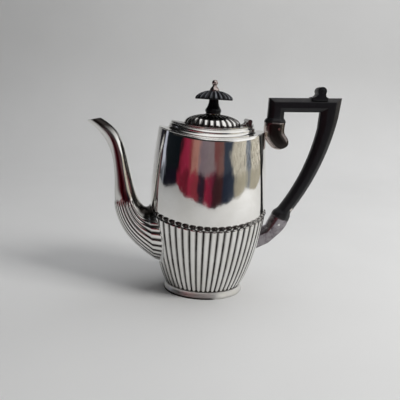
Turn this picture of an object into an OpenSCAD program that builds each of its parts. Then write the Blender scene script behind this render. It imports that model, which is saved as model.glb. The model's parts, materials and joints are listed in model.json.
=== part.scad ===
// Half-fluted oval coffee pot with a hinged lid, a fluted swan-neck spout
// and an ebonised wood handle. X runs from spout (-) to handle (+),
// Y across the pot, Z up. The origin is the middle of the foot, on the table.

/* [Body] */
// Width of the oval sections divided by their length
oval = 0.78; // [0.72:0.01:0.86]
// Radius of the saddle that lifts the ends of the rim, lid and bead row
saddle_r = 200; // [180:10:320]
// Thickness of the sheet metal
sheet_t = 1.0; // [0.8:0.1:1.2]
// Half length of the foot where it stands
foot_half = 38.6; // [37:0.2:40]
// Height of the foot flare
foot_h = 6.5; // [5:0.5:8]
// Height of the top of the fluted bowl, at the middle of the side
bowl_top = 71; // [68:0.5:74]
// Height of the rim, at the middle of the side
rim_top = 150; // [146:0.5:154]

/* [Fluting and beads] */
// Number of flutes and beads round the body
flute_n = 48; // [40:2:56]
// Depth of the valleys between the flutes
flute_d = 1.2; // [0.8:0.1:1.4]
// Radius of one bead
bead_r = 2.0; // [1.6:0.1:2.4]
// Beads left out on the spout side
bead_gap = 6; // [4:2:8]

/* [Spout] */
// Number of flutes round the root of the spout
spout_flutes = 20; // [14:2:22]
// Depth of the spout's flutes
spout_flute_d = 1.1; // [0.6:0.1:1.4]
// Height at which the spout's flutes die out
spout_flute_top = 85.5; // [80:0.5:90]
// Radius of one strainer hole
strainer_r = 1.6; // [1.2:0.1:2]

/* [Lid] */
// Half length of the lid's flange
flange_half = 37.8; // [36:0.2:38.4]
// Half length of the fluted dome
dome_half = 26; // [24:0.5:28]
// Rise of the dome above the flange
dome_h = 11; // [9:0.5:13]
// Number of flutes round the dome
dome_flutes = 24; // [20:2:28]
// Radius of the hinge barrel
barrel_r = 2.05; // [1.8:0.05:2.2]
// Length of the hinge barrel
barrel_l = 22; // [18:1:24]
// Radius of the hinge pin
hinge_pin_r = 0.9; // [0.7:0.1:1]

/* [Finial] */
// Radius of the finial's cap
cap_r = 17.2; // [15:0.2:18]
// Number of ribs on the cap
cap_ribs = 22; // [18:2:26]
// Radius of the threaded rod through the finial
rod_r = 1.5; // [1.2:0.1:1.6]

/* [Handle] */
// Half depth of the wooden bar
bar_w = 5.6; // [5:0.2:6.4]
// Half depth of the sockets and of the moulded ends
socket_w = 6.6; // [6:0.2:7.2]
// Radius of the pins through the sockets
handle_pin_r = 1.2; // [1:0.1:1.5]

/* [Hidden] */

SILVER = [0.82, 0.81, 0.78];
EBONY = [0.07, 0.07, 0.08];
BRASS = [0.72, 0.60, 0.36];

// Soldered curved seams stand this far apart, so that no two pieces overlap
seam = 0.03;
// Points per flute, and stations round a plain oval band
flute_pts = 4;
oval_pts = 48;
$fn = 64;

// ---- curves ---------------------------------------------------------------

// Lift of a saddle-shaped edge at the distance x from the middle of the pot
function lift(x) = saddle_r - sqrt(saddle_r * saddle_r - x * x);

// Point at t on a cubic Bezier curve
function bez(p, t) = pow(1 - t, 3) * p[0] + 3 * pow(1 - t, 2) * t * p[1]
    + 3 * (1 - t) * t * t * p[2] + pow(t, 3) * p[3];

// Point at t on two cubic Bezier curves joined at p[3]
function bez2(p, t) = t < 0.5
    ? bez([p[0], p[1], p[2], p[3]], 2 * t)
    : bez([p[3], p[4], p[5], p[6]], 2 * t - 1);

function smooth(u) = let (v = min(1, max(0, u))) v * v * (3 - 2 * v);

// Angle on the oval that splits its edge into equal lengths, u from 0 to 1
arc_skew = (1 - oval) / (1 + oval) * 90 / PI;
function oval_angle(u) = 360 * u + arc_skew * sin(720 * u);

// Rounded flute, 0 in the valleys and 1 on the crest
function flute(i, pts) = pow(sin(180 * (i % pts) / pts), 0.75);

// ---- meshes ---------------------------------------------------------------

function flatten(rings) = [for (r = rings) each r];

function quads(a, b, c, d, flip) = flip ? [[a, b, c], [a, c, d]] : [[a, c, b], [a, d, c]];

// Faces between the rings of n points that start at the point `first`
function side_faces(rows, n, first, flip) = [for (r = [0:rows - 2], i = [0:n - 1])
    let (a = first + r * n + i, b = first + r * n + (i + 1) % n)
    each quads(a, b, b + n, a + n, flip)];

// Faces of a flat edge between a ring of n * q points and a ring of n points
function edge_faces(o, s, n, q, flip) = [for (j = [0:n - 1])
    let (k = (j + 1) % n, mid = ceil(q / 2))
    each concat(
        [for (m = [0:q - 1]) let (
            p = o + j * q + m,
            e = o + (j * q + m + 1) % (n * q),
            w = s + (m < q / 2 ? j : k))
            flip ? [p, e, w] : [p, w, e]],
        [let (e = o + (j * q + mid) % (n * q))
            flip ? [s + j, e, s + k] : [s + j, s + k, e]])];

// Open-ended shell between outer rings and inner rings, both from the bottom up
module shell(outer, inner) {
    n = len(inner[0]);
    q = len(outer[0]) / n;
    first_in = len(outer) * n * q;
    polyhedron(
        points = concat(flatten(outer), flatten(inner)),
        faces = concat(
            side_faces(len(outer), n * q, 0, false),
            side_faces(len(inner), n, first_in, true),
            edge_faces(0, first_in, n, q, true),
            edge_faces((len(outer) - 1) * n * q, first_in + (len(inner) - 1) * n, n, q, false)),
        convexity = 8);
}

// Solid through rings of equal size, closed by a flat face at each end
module loft(rings) {
    n = len(rings[0]);
    last = (len(rings) - 1) * n;
    polyhedron(
        points = flatten(rings),
        faces = concat(
            [[for (i = [0:n - 1]) i]],
            side_faces(len(rings), n, 0, false),
            [[for (i = [n - 1:-1:0]) last + i]]),
        convexity = 6);
}

// Ring-shaped solid from rings that come back to the first one
module closed_band(rings) {
    n = len(rings[0]);
    rows = len(rings);
    polyhedron(
        points = flatten(rings),
        faces = [for (r = [0:rows - 1], i = [0:n - 1])
            let (s = (r + 1) % rows, j = (i + 1) % n)
            each quads(r * n + i, r * n + j, s * n + j, s * n + i, false)],
        convexity = 6);
}

// ---- the saddle and the oval ----------------------------------------------

// Size of the blocks that trim pieces, and the heights that clear the lid
block = 140;
below_lid = 145;
above_lid = 172;

// Everything above the saddle surface whose lowest line is at z
module above_saddle(z, drop = 0) {
    translate([0, 0, z + saddle_r])
        rotate([90, 0, 0])
            cylinder(r = saddle_r + drop, h = block, center = true, $fn = 720);
}

// Oval prism of half length a
module oval_prism(a, z0, z1) {
    translate([0, 0, z0])
        scale([1, oval, 1])
            cylinder(r = a, h = z1 - z0, $fn = 128);
}

// Plate bent to the saddle: its top at z on the middle line, t thick
module saddle_plate(z, t) {
    difference() {
        above_saddle(z, t);
        above_saddle(z);
    }
}

// Saddle-shaped oval ring of half length a and height z on the middle line
function saddle_ring(a, z) = [for (i = [0:oval_pts - 1])
    let (th = oval_angle(i / oval_pts), x = a * cos(th))
    [x, oval * a * sin(th), z + lift(x)]];

// ---- body -----------------------------------------------------------------

wall_r = 521.2;
wall_half_max = 54.3;
wall_mid_z = 80.7;
wall_cx = wall_half_max - wall_r;

// Half length of the plain wall at the height z
function wall_half(z) = wall_cx + sqrt(wall_r * wall_r - pow(z - wall_mid_z, 2));

module wall_outline(offset_out) {
    intersection() {
        translate([wall_cx, wall_mid_z])
            circle(r = wall_r + offset_out, $fn = 1440);
        translate([0, bowl_top - 6])
            square([60, rim_top - bowl_top + 20]);
    }
}

module wall_solid(offset_out) {
    scale([1, oval, 1])
        rotate_extrude($fn = 128)
            wall_outline(offset_out);
}

module body_wall() {
    color(SILVER)
        intersection() {
            difference() {
                wall_solid(0);
                wall_solid(-sheet_t);
                above_saddle(rim_top);
            }
            above_saddle(bowl_top + seam);
        }
}

bowl_bottom_half = 36.6;
bowl_top_half = wall_half_max + flute_d;
bowl_curve = [
    [bowl_bottom_half, foot_h],
    [44.7, foot_h + 13.5],
    [bowl_top_half - 2.9, bowl_top - 23.1],
    [bowl_top_half, bowl_top]];

// Stations up the bowl: closer at the ends, where the flutes round off
bowl_steps = [0, 0.05, 0.17, 0.31, 0.45, 0.59, 0.73, 0.86, 0.965, 1];
bowl_steps_in = [0, 0.31, 0.65, 1];

// Height of a bowl point: the saddle grows from nothing at the foot
function bowl_z(t, x) = bez(bowl_curve, t)[1] + lift(x) * t * t;

// How far the flutes stand out at t
function flute_rise(t) = smooth(t / 0.05) * (t > 0.99 ? 0.55 : 1);

// Flutes stop at the edge of the flat landing under the spout
landing_w = 23.4;
landing_h = 29.6;
root_z = 56.3;
root_h = 26.9;
root_w = 21.2;
root_power = 2.1;
function landing(p) = p[0] > 0 ? 1
    : smooth((pow(pow(abs(p[1]) / landing_w, root_power)
        + pow(abs(p[2] - root_z) / landing_h, root_power), 1 / root_power) - 1) / 0.08);

function bowl_point(t, th, out) = let (
    a = bez(bowl_curve, t)[0] - flute_d + out,
    x = a * cos(th))
    [x, oval * a * sin(th), bowl_z(t, x)];

function bowl_ring(t) = let (n = flute_n * flute_pts) [for (i = [0:n - 1]) let (
    th = oval_angle(i / n),
    rise = landing(bowl_point(t, th, 0)) * flute_rise(t) * flute(i, flute_pts))
    bowl_point(t, th, flute_d * rise)];

function bowl_ring_in(t) = [for (i = [0:flute_n - 1])
    bowl_point(t, oval_angle(i / flute_n), 0.1 - sheet_t)];

// Heights up the spout end of the bowl, to find t from a height
bowl_heights = [for (t = [0:0.02:1])
    [bowl_z(t, bez(bowl_curve, t)[0] - flute_d), t]];

// Distance of the bowl's surface from the middle plane at y and z, raised by out
function bowl_x(y, z, out) = let (
    t0 = lookup(z, bowl_heights),
    a0 = bez(bowl_curve, t0)[0] - flute_d + out,
    x0 = a0 * sqrt(max(0, 1 - pow(y / (oval * a0), 2))),
    t1 = lookup(z + (lift(a0) - lift(x0)) * t0 * t0, bowl_heights),
    a1 = bez(bowl_curve, t1)[0] - flute_d + out)
    a1 * sqrt(max(0, 1 - pow(y / (oval * a1), 2)));

// Strainer holes: rows up the landing, alternate rows shifted by half a pitch
strainer_pitch = 6.4;
strainer_rows = 5;
function strainer_count(row) = row % 2 == 0 ? 3 : 4;

module strainer_holes() {
    for (row = [0:strainer_rows - 1], i = [0:strainer_count(row) - 1])
        translate([
            -62,
            (i - (strainer_count(row) - 1) / 2) * strainer_pitch,
            root_z + (row - (strainer_rows - 1) / 2) * strainer_pitch])
            rotate([0, 90, 0])
                cylinder(r = strainer_r, h = 26, $fn = 24);
}

module fluted_bowl() {
    color(SILVER)
        difference() {
            shell(
                [for (t = bowl_steps) bowl_ring(t)],
                [for (t = bowl_steps_in) bowl_ring_in(t)]);
            strainer_holes();
        }
}

bead_z = bowl_top + bead_r + seam;
bead_neck = 0.42;
bead_steps = flute_n * flute_pts;

// Half-round section of the bead row, its back on the plain wall
function bead_section(i) = let (
    r = bead_r * (bead_neck + (1 - bead_neck) * pow(sin(180 * (i % flute_pts) / flute_pts), 0.6)),
    th = oval_angle(i / bead_steps))
    [for (v = [-90, 90, 45, 0, -45]) let (
        a = wall_half_max + seam + r * cos(v),
        x = a * cos(th))
        [x, oval * a * sin(th), bead_z + lift(x) + r * sin(v)]];

module beaded_border() {
    gap_half = bead_gap / 2 * flute_pts;
    first = bead_steps / 2 + gap_half;
    color(SILVER)
        loft([for (i = [0:bead_steps - 2 * gap_half]) bead_section((first + i) % bead_steps)]);
}

// ---- foot -----------------------------------------------------------------

// Upright edge of the foot: its height, and the width of the face it stands on
foot_lip = 1.2;
foot_rim = 2;
neck_in = 33.2;

module foot_ring() {
    flare = [[foot_half, foot_lip], [38, 3], [36.9, 4.6], [bowl_bottom_half, foot_h]];
    inside = [[neck_in, foot_h], [neck_in + 0.3, foot_h - 2.1], [neck_in + 2, foot_h - 3.9],
        [foot_half - foot_rim, foot_lip]];
    below = -1;
    color(SILVER)
        difference() {
            scale([1, oval, 1])
                rotate_extrude($fn = 128)
                    polygon(concat(
                        [[foot_half, below]],
                        [for (t = [0:0.25:1]) bez(flare, t)],
                        inside,
                        [[foot_half - foot_rim, below]]));
            translate([-block / 2, -block / 2, -block])
                cube(block);
        }
}

module base_plate() {
    color(SILVER)
        oval_prism(bowl_bottom_half - flute_d - sheet_t - 0.1, foot_h, foot_h + sheet_t);
}

// ---- shoulder, collar and hinge -------------------------------------------

collar_z = 153.6;
collar_half = 39.4;
collar_in = 35.6;
collar_h = 4.2;
lip_t = 1;

// Shoulder profile, counter-clockwise: half length, height, and 1 where it follows the wall
shoulder_profile = [
    [48.72, rim_top + seam, 1],
    [48.72, rim_top + 1.0, 1],
    [47.7, rim_top + 1.05, 1],
    [45.2, rim_top + 0.9, 0.6],
    [42, rim_top + 1.7, 0.2],
    [collar_half + 0.3, collar_z, 0],
    [collar_half - 1.6, collar_z, 0],
    [collar_half - 1.6, collar_z - 0.9, 0],
    [42, rim_top + 0.8, 0.2],
    [45.2, rim_top + 0.03, 0.6]];

// Band whose outer edge keeps to the tapering wall as it dips
function wall_ring(a, z, follow) = [for (i = [0:oval_pts - 1]) let (
    th = oval_angle(i / oval_pts),
    end_half = wall_half(z + lift(a)),
    grow = follow * (wall_half(z + lift(a * cos(th))) - end_half),
    x = (a + grow) * cos(th))
    [x, oval * (a + grow) * sin(th), z + lift(x)]];

module shoulder() {
    color(SILVER)
        closed_band([for (p = shoulder_profile) wall_ring(p[0], p[1], p[2])]);
}

// Ogee moulding of the collar and its inward lip, counter-clockwise
collar_profile = [
    [collar_half - 1.2, collar_z + 0.02],
    [collar_half, collar_z + 0.02],
    [collar_half + 0.3, collar_z + 1.2],
    [collar_half - 0.2, collar_z + 2.3],
    [collar_half - 1.1, collar_z + 3.0],
    [collar_half - 0.9, collar_z + collar_h],
    [collar_in, collar_z + collar_h],
    [collar_in, collar_z + collar_h - lip_t],
    [collar_half - 2.2, collar_z + collar_h - lip_t - 0.1]];

module mouth_collar() {
    color(SILVER)
        closed_band([for (p = collar_profile) saddle_ring(p[0], p[1])]);
}

flange_t = 0.9;
lid_gap = 0.2;
flange_z = collar_z + collar_h + lid_gap + flange_t;
hinge_x = 32.8;
hinge_z = 164.9;
hinge_line = 30.6;
knuckles = 5;
knuckle_l = barrel_l / knuckles;
knuckle_gap = 0.15;
run_fit = 0.05;

module along_hinge(y0, y1) {
    translate([hinge_x, y1, hinge_z])
        rotate([90, 0, 0])
            linear_extrude(y1 - y0)
                children();
}

function knuckle_y0(i) = -barrel_l / 2 + i * knuckle_l + (i == 0 ? 0 : knuckle_gap / 2);
function knuckle_y1(i) = -barrel_l / 2 + (i + 1) * knuckle_l - (i == knuckles - 1 ? 0 : knuckle_gap / 2);

module hinge_bracket() {
    web = [[-0.9, -3.4], [1.7, -3.3], [1.5, 0], [-1.5, 0]];
    color(SILVER)
        difference() {
            union() {
                intersection() {
                    saddle_plate(flange_z, flange_t + lid_gap - seam);
                    oval_prism(flange_half, below_lid, above_lid);
                    translate([hinge_line, -block / 2, below_lid])
                        cube(block);
                }
                for (i = [0:2:knuckles - 1])
                    along_hinge(knuckle_y0(i), knuckle_y1(i))
                        union() {
                            circle(r = barrel_r);
                            polygon(web);
                        }
            }
            along_hinge(-barrel_l, barrel_l)
                circle(r = hinge_pin_r);
        }
}

module hinge_pin() {
    pin_l = barrel_l + 0.8;
    color(SILVER)
        along_hinge(-pin_l / 2, pin_l / 2)
            circle(r = hinge_pin_r);
}

// ---- spout ----------------------------------------------------------------

spout_under = [[-46, root_z - root_h], [-65, 41.5], [-88.6, 58.7], [-88, 95.6],
    [-87.4, 127.4], [-91.8, 143.4], [-113.1, 158.5]];
spout_upper = [[-54.5, root_z + root_h], [-55.6, 80.2], [-62.8, 72.4], [-71, 104.2],
    [-80.5, 140.5], [-78.9, 148.7], [-100.8, 161.2]];
spout_depth = [[root_w], [12], [11.6], [9], [7.4], [6], [6.4]];
spout_wall = 1.2;
lip_wall = 0.8;
spout_steps = [0, 0.06, 0.14, 0.23, 0.32, 0.40, 0.48, 0.56, 0.64, 0.72, 0.8, 0.87, 0.94, 1];
// The top of the root is plain over this angle to each side
spout_plain = 56;
spout_plain_pts = 12;
spout_pts = spout_plain_pts + spout_flutes * flute_pts;

function spout_angle(i) = i < spout_plain_pts
    ? -spout_plain + 2 * spout_plain * i / spout_plain_pts
    : spout_plain + (360 - 2 * spout_plain) * (i - spout_plain_pts) / (spout_flutes * flute_pts);

function spout_flute(i) = i < spout_plain_pts ? 0 : flute(i - spout_plain_pts, flute_pts);

function signed_pow(v, e) = sign(v) * pow(abs(v), e);

// The root's end is bevelled: its outer edge meets the body, its inner edge stands off
root_seam = 0.16;
root_bevel = 1.7;
// The root is a little wider above its middle than below
root_taper = 0.06;

// Point at the angle v round the section at t, moved out by `out`
function spout_point(t, v, out, stand_off) = let (
    u = bez2(spout_under, t),
    w = bez2(spout_upper, t),
    half = (w - u) / 2,
    mid = (w + u) / 2,
    depth = bez2(spout_depth, t)[0],
    size = (norm(half) + depth) / 2,
    near = smooth(1 - 2 * t),
    e = 2 / (2 + (root_power - 2) * near),
    along = signed_pow(cos(v), e) * (1 + out / size),
    y = signed_pow(sin(v), e) * depth * (1 + out / size) * (1 + root_taper * near * along),
    p = mid + half * along,
    z0 = root_z + root_h * along)
    t == 0 ? [-bowl_x(y, z0, stand_off), y, z0] : [p[0], y, p[1]];

function spout_ring(t) = [for (i = [0:spout_pts - 1]) let (
    v = spout_angle(i),
    base = spout_point(t, v, 0, root_seam),
    fade = smooth((spout_flute_top - base[2]) / 3 + 0.5))
    spout_point(t, v, spout_flute_d * spout_flute(i) * fade, root_seam)];

function spout_ring_in(t) = let (wall = spout_wall + (lip_wall - spout_wall) * t)
    [for (i = [0:flute_pts:spout_pts - 1]) spout_point(t, spout_angle(i), -wall, root_bevel)];

module spout() {
    color(SILVER)
        shell(
            [for (t = spout_steps) spout_ring(t)],
            [for (t = spout_steps) spout_ring_in(t)]);
}

// ---- handle ---------------------------------------------------------------

// Eight-sided section between the points a and b of the side view, half depth w
chamfer_along = 0.3;
chamfer_deep = 0.45;
function eight_ring(a, b, w) = let (c = w * chamfer_deep) [
    for (p = [[1, -c], [1, c], [1 - chamfer_along, w], [chamfer_along, w],
        [0, c], [0, -c], [chamfer_along, -w], [1 - chamfer_along, -w]])
        let (q = a + (b - a) * p[0]) [q[0], p[1], q[1]]];

function arc_point(c, r, v) = c + r * [cos(v), sin(v)];

// Curved bar: two arcs, the outer and the inner edge
bar_out_c = [-99.2, 203.1];
bar_out_r = 218.2;
bar_in_c = [-82.1, 187.5];
bar_in_r = 183;
bar_steps = 8;
bar_from = -8;
bar_to = -34.5;

upper_joint = [[48.4, 165], [67.4, 165]];
lower_joint = [[79.4, 71.2], [63.4, 77.9]];
top_left = [[50.6, 187.1], [65.4, 175]];
top_right = [[118.2, 190.4], [99.5, 176.6]];

handle_stations = concat(
    [[upper_joint[0], upper_joint[1], socket_w],
        [upper_joint[0] + [0.1, 1.8], upper_joint[1] + [0, 1.8], socket_w],
        [[50.6, 169], [65.5, 169.2], bar_w],
        [top_left[0], top_left[1], bar_w],
        [top_right[0], top_right[1], bar_w]],
    [for (i = [0:bar_steps]) let (v = bar_from + (bar_to - bar_from) * i / bar_steps)
        [arc_point(bar_out_c, bar_out_r, v), arc_point(bar_in_c, bar_in_r, v), bar_w]],
    [[[80.8, 76.3], [65, 81.4], socket_w],
        [lower_joint[0], lower_joint[1], socket_w]]);

// Frame of the lower joint: its middle and the angle of the bar there
lower_mid = (lower_joint[0] + lower_joint[1]) / 2;
lower_across = lower_joint[0] - lower_joint[1];
lower_angle = atan2(lower_across[1], lower_across[0]);

tenon = [9, 7, 10];
tenon_fit = 0.1;

module upper_tenon(grow) {
    mid = (upper_joint[0] + upper_joint[1]) / 2;
    translate([mid[0] - tenon[0] / 2 - grow, -tenon[1] / 2 - grow, mid[1] - tenon[2] - grow])
        cube([tenon[0] + 2 * grow, tenon[1] + 2 * grow, tenon[2] + 2 * grow + 0.01]);
}

module lower_tenon(grow) {
    translate([lower_mid[0], 0, lower_mid[1]])
        rotate([0, -lower_angle, 0])
            translate([-tenon[0] / 2 - grow, -tenon[1] / 2 - grow, -tenon[2] - grow])
                cube([tenon[0] + 2 * grow, tenon[1] + 2 * grow, tenon[2] + 2 * grow + 0.01]);
}

// Carved roll on the top bar, which the thumb presses
scroll_c = [98, 195.3];
scroll_r = 4.05;
scroll_l = 12;
scroll_foot = [[-8.8, -8.3], [-8.8, -6], [-5.4, -4.9], [-3.6, -2.3], [0, 0],
    [3.6, -2.3], [4.2, -4.9], [6.2, -5.6], [6.2, -8.3]];

module thumb_scroll() {
    translate([0, scroll_l / 2, 0])
        rotate([90, 0, 0])
            linear_extrude(scroll_l) {
                translate(scroll_c)
                    circle(r = scroll_r);
                polygon([for (p = scroll_foot) scroll_c + p]);
            }
}

upper_pin_at = [61, 159.6];
lower_pin_at = [69.6, 68.8];
pin_proud = 0.4;

module handle_pin(at, r) {
    l = 2 * (socket_w + pin_proud);
    translate([at[0], l / 2, at[1]])
        rotate([90, 0, 0])
            cylinder(r = r, h = l, $fn = 32);
}

module handle() {
    color(EBONY)
        difference() {
            union() {
                loft([for (s = handle_stations) eight_ring(s[0], s[1], s[2])]);
                upper_tenon(0);
                lower_tenon(0);
                thumb_scroll();
            }
            handle_pin(upper_pin_at, handle_pin_r);
            handle_pin(lower_pin_at, handle_pin_r);
        }
}

// Upper socket: from its curled end up to the joint
upper_socket_stations = [
    [[68.4, 142.3], [71.8, 144.9], 3.6],
    [[63.4, 140.3], [72.4, 147], 5],
    [[57.8, 141.6], [72, 149.4], 6],
    [[53.2, 145.8], [70.2, 152.4], 6.4],
    [[49, 151.5], [68, 155.2], socket_w],
    [[48.4, 158.4], [67.1, 158.4], socket_w],
    [upper_joint[0], upper_joint[1], socket_w]];

module upper_socket() {
    color(SILVER)
        difference() {
            loft([for (s = upper_socket_stations) eight_ring(s[0], s[1], s[2])]);
            upper_tenon(tenon_fit);
            handle_pin(upper_pin_at, handle_pin_r);
            wall_solid(seam);
        }
}

// Lower socket: from the joint down to a long tip soldered to the flutes
lower_socket_stations = [
    [lower_joint[0], lower_joint[1], socket_w],
    [[77.2, 65.9], [62, 74.7], socket_w],
    [[72.6, 59.4], [60.3, 70.9], 6.3],
    [[61.8, 48.4], [58.4, 66.4], 5.7]];
lower_tip = [51.4, 41.6];
lower_throat = [54.9, 63.4];
tip_w = 5;
tip_seam = 0.2;

function socket_foot_ring() = [for (p = eight_ring(lower_tip, lower_throat, tip_w))
    [bowl_x(p[1], p[2], flute_d + tip_seam), p[1], p[2]]];

module lower_socket() {
    color(SILVER)
        difference() {
            loft(concat(
                [for (s = lower_socket_stations) eight_ring(s[0], s[1], s[2])],
                [socket_foot_ring()]));
            lower_tenon(tenon_fit);
            handle_pin(lower_pin_at, handle_pin_r);
        }
}

module upper_handle_pin() {
    color(SILVER)
        handle_pin(upper_pin_at, handle_pin_r);
}

module lower_handle_pin() {
    color(SILVER)
        handle_pin(lower_pin_at, handle_pin_r);
}

// ---- lid ------------------------------------------------------------------

module left_of(x) {
    intersection() {
        children();
        translate([x - block, -block / 2, below_lid - 5])
            cube(block);
    }
}

dome_wall = 1.2;
dome_in = dome_half - 1.1 - sheet_t;

module lid_flange() {
    color(SILVER)
        left_of(hinge_line - 0.3)
            difference() {
                intersection() {
                    saddle_plate(flange_z, flange_t);
                    oval_prism(flange_half, below_lid, above_lid);
                }
                oval_prism(dome_in, below_lid - 1, above_lid + 1);
            }
}

bezel_half = 35;
bezel_t = 0.8;
bezel_h = 3;

module lid_bezel() {
    color(SILVER)
        left_of(hinge_line - 1.1)
            difference() {
                intersection() {
                    saddle_plate(flange_z - flange_t - seam, bezel_h);
                    oval_prism(bezel_half, below_lid, above_lid);
                }
                oval_prism(bezel_half - bezel_t, below_lid - 1, above_lid + 1);
            }
}

dome_steps = [0, 9, 20, 33, 47, 61, 75];
dome_steps_in = [0, 25, 50, 76];
dome_flute_d = 1.0;

function dome_point(v, th, out) = let (
    a = (dome_half - dome_flute_d + out) * cos(v),
    x = a * cos(th))
    [x, oval * a * sin(th), flange_z + seam + lift(x)
        + (dome_h - dome_flute_d / 2 + out / 2) * sin(v)];

function dome_ring(v) = let (n = dome_flutes * flute_pts) [for (i = [0:n - 1])
    dome_point(v, oval_angle(i / n), dome_flute_d * flute(i, flute_pts))];

function dome_ring_in(v) = [for (i = [0:dome_flutes - 1])
    let (
        th = oval_angle(i / dome_flutes),
        a = dome_in * cos(v),
        x = a * cos(th))
    [x, oval * a * sin(th), flange_z + seam + lift(x) + (dome_h - dome_wall) * sin(v)]];

module lid_dome() {
    color(SILVER)
        shell([for (v = dome_steps) dome_ring(v)], [for (v = dome_steps_in) dome_ring_in(v)]);
}

module lid_hinge_leaf() {
    leaf = [[27.2, 160.72], [30.2, 161.2], [30.2, 162.1], [31.5, 163.4], [32.8, 164.9],
        [30.8, 164.9], [29.3, 162.4], [27.2, 161.7]];
    at_hinge = [for (p = leaf) p - [hinge_x, hinge_z]];
    color(SILVER)
        difference() {
            for (i = [1:2:knuckles - 1])
                along_hinge(knuckle_y0(i), knuckle_y1(i))
                    union() {
                        circle(r = barrel_r);
                        polygon(at_hinge);
                    }
            along_hinge(-barrel_l, barrel_l)
                circle(r = hinge_pin_r + run_fit);
            difference() {
                above_saddle(flange_z - seam, 10);
                above_saddle(flange_z + seam);
            }
        }
}

// ---- finial ---------------------------------------------------------------

seat_z = 169.8;
seat_t = 0.8;
stem_z = seat_z + seat_t;
cap_z = 182.5;
cap_top = 190.5;
nut_ball_r = 2.8;
nut_top = 200;
washer_z = 167;
rod_hole = rod_r + 0.15;

module turned(profile) {
    rotate_extrude($fn = 64)
        polygon(profile);
}

module finial_seat() {
    color(SILVER)
        turned([[rod_hole, seat_z], [6.9, seat_z], [7.1, seat_z + 0.4], [6.8, stem_z],
            [rod_hole, stem_z]]);
}

module finial_stem() {
    color(EBONY)
        turned([[rod_hole, stem_z], [6.3, stem_z], [7, stem_z + 0.8], [7.3, stem_z + 2],
            [7, stem_z + 3.4], [6, stem_z + 5.2], [5.2, stem_z + 7], [4.6, stem_z + 9.4],
            [4.3, cap_z], [rod_hole, cap_z]]);
}

// Rim and crown of the cap: radius, height and share of the rib's depth
cap_profile = [[cap_r - 0.7, cap_z, 1], [cap_r, cap_z + 0.9, 1], [15.9, 185.9, 1],
    [12.8, 188, 0.9], [8.6, 189.7, 0.6], [4.6, cap_top, 0]];
rib_d = 1.0;

function cap_ring(p) = let (n = cap_ribs * flute_pts) [for (i = [0:n - 1])
    let (r = p[0] - rib_d * p[2] * (1 - flute(i, flute_pts)))
    [r * cos(360 * i / n), r * sin(360 * i / n),
        p[1] - 0.5 * rib_d * p[2] * (1 - flute(i, flute_pts)) * smooth((p[1] - cap_z) / 3)]];

function circle_ring(r, z, n) = [for (i = [0:n - 1]) [r * cos(360 * i / n), r * sin(360 * i / n), z]];

module finial_cap() {
    color(EBONY)
        shell(
            [for (p = cap_profile) cap_ring(p)],
            [for (z = [cap_z, cap_top]) circle_ring(rod_hole, z, cap_ribs)]);
}

module finial_nut() {
    ball_z = nut_top - nut_ball_r;
    neck_v = -47;
    color(SILVER)
        difference() {
            turned(concat(
                [[0, cap_top], [4.4, cap_top], [4.4, cap_top + 0.6], [4.1, cap_top + 1.4],
                    [3.3, cap_top + 2.5], [2.3, cap_top + 3.6], [1.8, cap_top + 4.5]],
                [for (i = [0:16]) let (v = neck_v + (90 - neck_v) * i / 16)
                    nut_ball_r * [cos(v), sin(v)] + [0, ball_z]]));
            translate([0, 0, cap_top - 1])
                cylinder(r = rod_r, h = 5.2, $fn = 32);
        }
}

module finial_rod() {
    color(BRASS)
        translate([0, 0, washer_z - 4.2])
            cylinder(r = rod_r, h = cap_top + 4 - washer_z + 4.2, $fn = 32);
}

module finial_washer() {
    color(BRASS)
        turned([[rod_hole, washer_z], [6.4, washer_z], [6.4, washer_z + 0.8], [rod_hole, washer_z + 0.8]]);
}

module finial_locknut() {
    color(BRASS)
        difference() {
            translate([0, 0, washer_z - 2.6])
                cylinder(r = 3.2, h = 2.6, $fn = 6);
            translate([0, 0, washer_z - 3])
                cylinder(r = rod_r, h = 4, $fn = 32);
        }
}

foot_ring();
base_plate();
fluted_bowl();
beaded_border();
body_wall();
shoulder();
mouth_collar();
hinge_bracket();
hinge_pin();
spout();
upper_socket();
lower_socket();
handle();
upper_handle_pin();
lower_handle_pin();
lid_flange();
lid_dome();
lid_bezel();
lid_hinge_leaf();
finial_seat();
finial_stem();
finial_cap();
finial_nut();
finial_rod();
finial_washer();
finial_locknut();
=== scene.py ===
import bpy, json, math
import numpy as np
from mathutils import Matrix, Vector


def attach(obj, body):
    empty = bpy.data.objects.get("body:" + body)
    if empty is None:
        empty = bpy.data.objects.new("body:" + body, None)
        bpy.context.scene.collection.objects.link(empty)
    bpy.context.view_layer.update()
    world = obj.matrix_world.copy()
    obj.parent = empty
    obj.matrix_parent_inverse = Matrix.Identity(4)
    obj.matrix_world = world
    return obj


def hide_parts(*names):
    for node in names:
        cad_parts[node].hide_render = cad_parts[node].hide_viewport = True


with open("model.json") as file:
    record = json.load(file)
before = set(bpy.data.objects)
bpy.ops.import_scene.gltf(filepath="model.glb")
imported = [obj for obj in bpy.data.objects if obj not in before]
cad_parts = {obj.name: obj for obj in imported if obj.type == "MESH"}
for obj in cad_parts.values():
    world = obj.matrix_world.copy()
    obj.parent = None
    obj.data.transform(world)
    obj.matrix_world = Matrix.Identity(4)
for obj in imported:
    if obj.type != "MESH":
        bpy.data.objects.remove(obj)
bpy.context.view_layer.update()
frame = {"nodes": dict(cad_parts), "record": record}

scene = bpy.context.scene
MM = 0.001
TAU = 2 * math.pi

# ---- camera ----------------------------------------------------------------
# fitted to the photo: it looks along +Y, pitched down, turned about Z and rolled
PITCH, ROLL, YAW = math.radians(13.117), math.radians(3.301), math.radians(5.006)
LENS, SENSOR = 38.52, 36
CAMERA_AT = Vector((-0.00738, -0.39854, 0.18150))


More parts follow.
